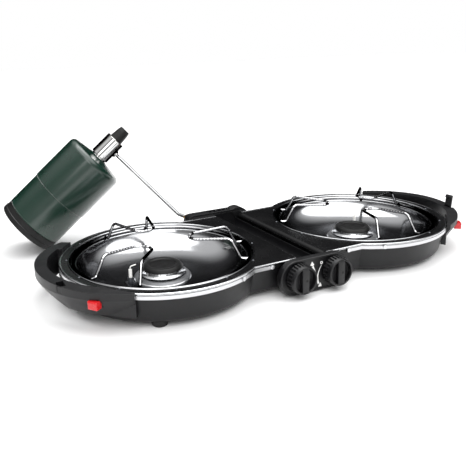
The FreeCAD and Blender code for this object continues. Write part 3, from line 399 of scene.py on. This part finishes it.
def bent(points, bends):
    """Points along straight runs joined by round bends, about a millimetre apart."""
    corners = [Vector(p) for p in points]
    line = [corners[0]]
    for before, corner, after, radius in zip(corners, corners[1:], corners[2:], bends):
        inward = (before - corner).normalized()
        outward = (after - corner).normalized()
        half = inward.angle(outward) / 2
        centre = corner + (inward + outward).normalized() * (radius / math.sin(half))
        a = corner + inward * (radius / math.tan(half)) - centre
        b = corner + outward * (radius / math.tan(half)) - centre
        line += [centre + a.lerp(b, i / 8).normalized() * radius for i in range(9)]
    line.append(corners[-1])
    fine = [line[0]]
    for a, b in zip(line, line[1:]):
        steps = max(1, round((b - a).length / 0.0011))
        fine += [a.lerp(b, i / steps) for i in range(1, steps + 1)]
    return fine


def wires(paths, radius, closed=False, notched=0.0):
    """Round wires along paths; above a height they are crimped every few millimetres."""
    curve = bpy.data.curves.new("wire", "CURVE")
    curve.dimensions = "3D"
    curve.bevel_depth = radius
    curve.bevel_resolution = 4
    curve.use_fill_caps = not closed
    for path in paths:
        spline = curve.splines.new("POLY")
        spline.points.add(len(path) - 1)
        spline.use_cyclic_u = closed
        for i, (point, place) in enumerate(zip(spline.points, path)):
            point.co = (*place, 1)
            point.radius = 0.84 if notched and place[2] > notched and i % 4 == 0 else 1.0
    holder = bpy.data.objects.new("wire", curve)
    mesh = bpy.data.meshes.new_from_object(holder)
    bm = bmesh.new()
    bm.from_mesh(mesh)
    bpy.data.objects.remove(holder)
    bpy.data.curves.remove(curve)
    return bm


foot = math.radians(16.5)
half_arm = [(ring_r * math.cos(foot) - 0.0005, ring_r * math.sin(foot), ring_z + 0.0003),
            (ring_r * math.cos(foot) - 0.009, ring_r * math.sin(foot) - 0.0015, ring_z + 0.0002),
            (0.088, 0.026, top_z), (0.043, 0.013, top_z - 0.003), (0.037, 0.005, top_z - 0.003)]
arm_bends = [0.004, 0.009, 0.006, 0.004, 0.004, 0.006, 0.009, 0.004]
arm = bent(half_arm + [(x, -y, z) for x, y, z in half_arm[::-1]], arm_bends)
for side, angles in (("left", (83, -37, -157)), ("right", (145, 265, 25))):
    paths = []
    for angle in angles:
        spot = Matrix.Translation((bowl_x, 0, 0)) @ Matrix.Rotation(math.radians(angle), 4, "Z")
        paths.append([spot @ point for point in arm])
    bm = wires(paths, wire_r, notched=ring_z + 0.019)
    piece(side + "_pot_supports", mirrored(bm, side), chrome, side + "_grate",
          [side + "_grate"])
    circle = [(bowl_x + ring_r * math.cos(math.tau * i / 144), ring_r * math.sin(math.tau * i / 144),
               ring_z) for i in range(144)]
    piece(side + "_grate_ring", mirrored(wires([circle], wire_r, closed=True), side), chrome,
          side + "_grate")


# Screws and rivets: stainless screws hold each deck's skirt to its pan and the base plate to the
# spine, and small domed zinc-plated rivets go through the deck round each bowl.
dress(stainless, *both("trim_screws"), "spine_screws")
dress(bracket_steel, *both("rim_rivets"))


# Push buttons of the igniters: moulded in glossy red plastic, with softly rounded corners. Each
# slides in an opening in the front of its handle.
red_gloss = material("moulded_red", "#c8141a", 0, (0.22, 0.34), 10, Coat_Weight=0.3)
round_edge = add_node(red_gloss, "ShaderNodeBevel", [("Radius", 0.0008)], samples=6)
link(red_gloss, round_edge.outputs["Normal"], "Normal")
dress(red_gloss, *both("button"))


# Latch: a slim moulded nylon tongue that turns on a pin in the right handle. Its rounded barb
# leans out, and enters a slot in the left handle when the stove is folded.
latch_x, latch_y, latch_w = 0.3004, -0.052, 0.011
tongue = [(-0.0013, 0.0462), (0.0013, 0.0462), (0.0015, 0.0520), (0.0031, 0.0640), (0.0033, 0.0668),
          (0.0024, 0.0682), (0.0010, 0.0680), (-0.0012, 0.0650), (-0.0014, 0.0640),
          (0.0004, 0.0636), (-0.0011, 0.0530)]
bm = bmesh.new()
flat = bm.faces.new([bm.verts.new((latch_x + x, latch_y - latch_w / 2, z)) for x, z in tongue])
swept = bmesh.ops.extrude_face_region(bm, geom=[flat])["geom"]
swept_verts = [v for v in swept if isinstance(v, bmesh.types.BMVert)]
bmesh.ops.translate(bm, vec=(0, latch_w, 0), verts=swept_verts)
bmesh.ops.recalc_face_normals(bm, faces=bm.faces)
bmesh.ops.bevel(bm, geom=bm.edges[:], offset=0.0004, segments=2, profile=0.5, affect="EDGES", material=-1)
piece("latch_tongue", bm, nylon, "latch", ["latch_hook"])


# Latch keeper: a thin nylon lip, moulded as one with the left handle. It closes the outer side
# of the slot that the latch enters.
keeper_r, keeper_x, keeper_wall = 0.1168, -0.202, 0.0014
bm = bmesh.new()
start_turn = math.radians(180 + 22.0)
lip = [bm.verts.new((keeper_x + r * math.cos(start_turn), r * math.sin(start_turn), z))
       for r, z in ((keeper_r - keeper_wall, 0.0402), (keeper_r, 0.0402), (keeper_r, 0.0488),
                    (keeper_r - keeper_wall, 0.0490))]
profile_face = bm.faces.new(lip)
bmesh.ops.spin(bm, geom=[profile_face, *profile_face.edges, *lip], cent=(keeper_x, 0, 0),
               axis=(0, 0, 1), angle=math.radians(9.0), steps=8)
bmesh.ops.recalc_face_normals(bm, faces=bm.faces)
piece("latch_keeper", bm, nylon, "left_half")


# Feet: moulded black rubber, dull and fine grained. Three are pressed into the underside of
# each pan.
rubber = material("rubber", "#131314", 0, (0.7, 0.9), 6, 0.7, 0.05)
dress(rubber, *both("feet"))


# Knobs: moulded nylon, with deep flutes round the back of the skirt, a smooth face rim and a
# grip bar between two half-moon hollows. A small pointer hole is drilled beside the middle.
flutes, per_flute = 26, 6
knob_x, knob_z, knob_back = 0.0268, 0.0245, -0.117
bar_size, bar_mid, bar_edge = (0.0098, 0.0296, 0.0064), (0.0005, 0, 0.0116), 0.0008
pointer_r, pointer_deep, pointer_spot = 0.0016, 0.0003, (0.002, 0, 0.01475)
knob_rings = [(0.0012, 0.0176, 0), (0.0015, 0.0187, 0.0019), (0.0092, 0.0182, 0.0019),
              (0.0100, 0.0177, 0), (0.0136, 0.0174, 0), (0.0146, 0.0170, 0), (0.01495, 0.0163, 0),
              (0.01495, 0.0155, 0), (0.0144, 0.0150, 0), (0.0085, 0.0144, 0)]
for side, sign in (("left", -1), ("right", 1)):
    bm = bmesh.new()
    loops = []
    for level, radius, groove in knob_rings:
        ring_verts = bmesh.ops.create_circle(bm, radius=radius, segments=flutes * per_flute,
                                             matrix=Matrix.Translation((0, 0, level)))["verts"]
        for i, vert in enumerate(ring_verts):
            if groove and i % per_flute < per_flute // 2:
                vert.co.xy *= (radius - groove) / radius
        loops.append([e for e in bm.edges if e.verts[0] in ring_verts and e.verts[1] in ring_verts])
    for first, second in zip(loops, loops[1:]):
        bmesh.ops.bridge_loops(bm, edges=first + second)
    bmesh.ops.contextual_create(bm, geom=loops[-1])
    bmesh.ops.contextual_create(bm, geom=loops[0])
    bar = bmesh.ops.create_cube(bm, size=1, matrix=Matrix.Translation(bar_mid)
                                @ Matrix.Diagonal((*bar_size, 1)))["verts"]
    top_edges = [e for e in bm.edges if all(v in bar and v.co.z > 0.0129 for v in e.verts)]
    bmesh.ops.bevel(bm, geom=top_edges, offset=bar_edge, segments=3, profile=0.5, affect="EDGES",
                    material=-1)
    onto = Matrix.Translation((sign * knob_x, knob_back, knob_z)) @ Matrix.Rotation(math.pi / 2, 4, "X")
    bmesh.ops.transform(bm, matrix=onto, verts=bm.verts)
    bmesh.ops.recalc_face_normals(bm, faces=bm.faces)
    piece(side + "_fluted_knob", bm, nylon, side + "_knob", [side + "_knob"])
    # The pointer hole is not cut: a thin black disc on the grip bar is painted shade in its place.
    bm = bmesh.new()
    bmesh.ops.create_cone(bm, cap_ends=True, segments=16, radius1=pointer_r, radius2=pointer_r,
                          depth=pointer_deep, matrix=onto @ Matrix.Translation(pointer_spot))
    piece(side + "_pointer_hole", bm, hole_shade, side + "_knob")


# Dial marks: generic signs printed in white between the knobs: a spark for lighting, a ring for
# off, a tapered band that grows to full flame, and a small flame. The ink is 0.1 mm thick.
ink = material("white_ink", "#f2f2f0", 0, (0.45, 0.6), 4)
ink_y, ink_thick = -0.1162, 0.0001
spark = [(-6.4, 40.4), (-2.9, 36.0), (-4.2, 34.8), (-0.4, 25.6), (-6.8, 32.6), (-5.4, 34.0),
         (-9.0, 35.6)]
flame = [(6.4, 10.6), (8.0, 8.0), (8.9, 5.9), (7.4, 4.6), (6.2, 6.0), (5.0, 4.6), (3.6, 5.9),
         (4.9, 8.0)]
band_left, band_right = [], []
for i in range(13):
    t = i / 12
    x = (1 - t) ** 2 * 8.2 + 2 * t * (1 - t) * -0.6 + t * t * 4.0
    z = 33.4 + (9.4 - 33.4) * t
    half = 0.25 + 1.05 * t
    band_left.append((x - half, z))
    band_right.append((x + half, z))
bm = bmesh.new()
for outline in (spark, flame, band_left + band_right[::-1]):
    bm.faces.new([bm.verts.new((x / 1000, ink_y, z / 1000)) for x, z in outline])
hoops = []
for radius in (0.0021, 0.0010):
    flat_ring = Matrix.Translation((0.0080, ink_y, 0.0364)) @ Matrix.Rotation(math.pi / 2, 4, "X")
    hoop = bmesh.ops.create_circle(bm, radius=radius, segments=24, matrix=flat_ring)["verts"]
    hoops += {edge for vert in hoop for edge in vert.link_edges}
bmesh.ops.bridge_loops(bm, edges=hoops)
thick = bmesh.ops.extrude_face_region(bm, geom=bm.faces[:])["geom"]
raised = [v for v in thick if isinstance(v, bmesh.types.BMVert)]
bmesh.ops.translate(bm, vec=(0, -ink_thick, 0), verts=raised)
bmesh.ops.recalc_face_normals(bm, faces=bm.faces)
piece("dial_marks", bm, ink, "spine")


# Gas parts: valves, jets and inlet machined from brass, a nickel-plated regulator and a drawn
# steel fuel pipe. The regulator and the pipe have painted dark reflections towards their edges.
brass = material("machined_brass", "#b98f4c", 1, (0.2, 0.34), 5)
dress(brass, *both("valve"), *both("gas_feed"), "gas_inlet")
plated = material("nickel_plate", "#d6d6d4", 1, (0.04, 0.10), 15)
# The plate's and the tube's base colours are painted darker towards their edges: painted reflection.
painted_edge_reflection(plated, "#e2e2e0", "#1d1d1e")
tube_steel = material("drawn_tube", "#9a9b9d", 1, (0.15, 0.25), 12)
painted_edge_reflection(tube_steel, "#b4b5b6", "#101011")
dress(plated, "regulator_body", "cylinder_valve")
dress(tube_steel, "fuel_pipe", "gas_manifold")


# Fuel cylinder: two pressed steel cups joined at a seam, lacquered dark green, with a clear
# gloss over it. It stands in a moulded black plastic cup, as dark as the regulator's cap.
green_paint = material("green_lacquer", "#07291e", 0, (0.26, 0.34), 30, 2.0, 0.03,
                       Coat_Weight=0.8, Coat_Roughness=0.16)
dress(green_paint, "cylinder_shell")
cup_plastic = material("cup_plastic", "#0b0b0b", 0, (0.4, 0.55), 20, 1.0, 0.04,
                       Specular_IOR_Level=0.35)
dress(cup_plastic, "cylinder_cup", "regulator_cap")
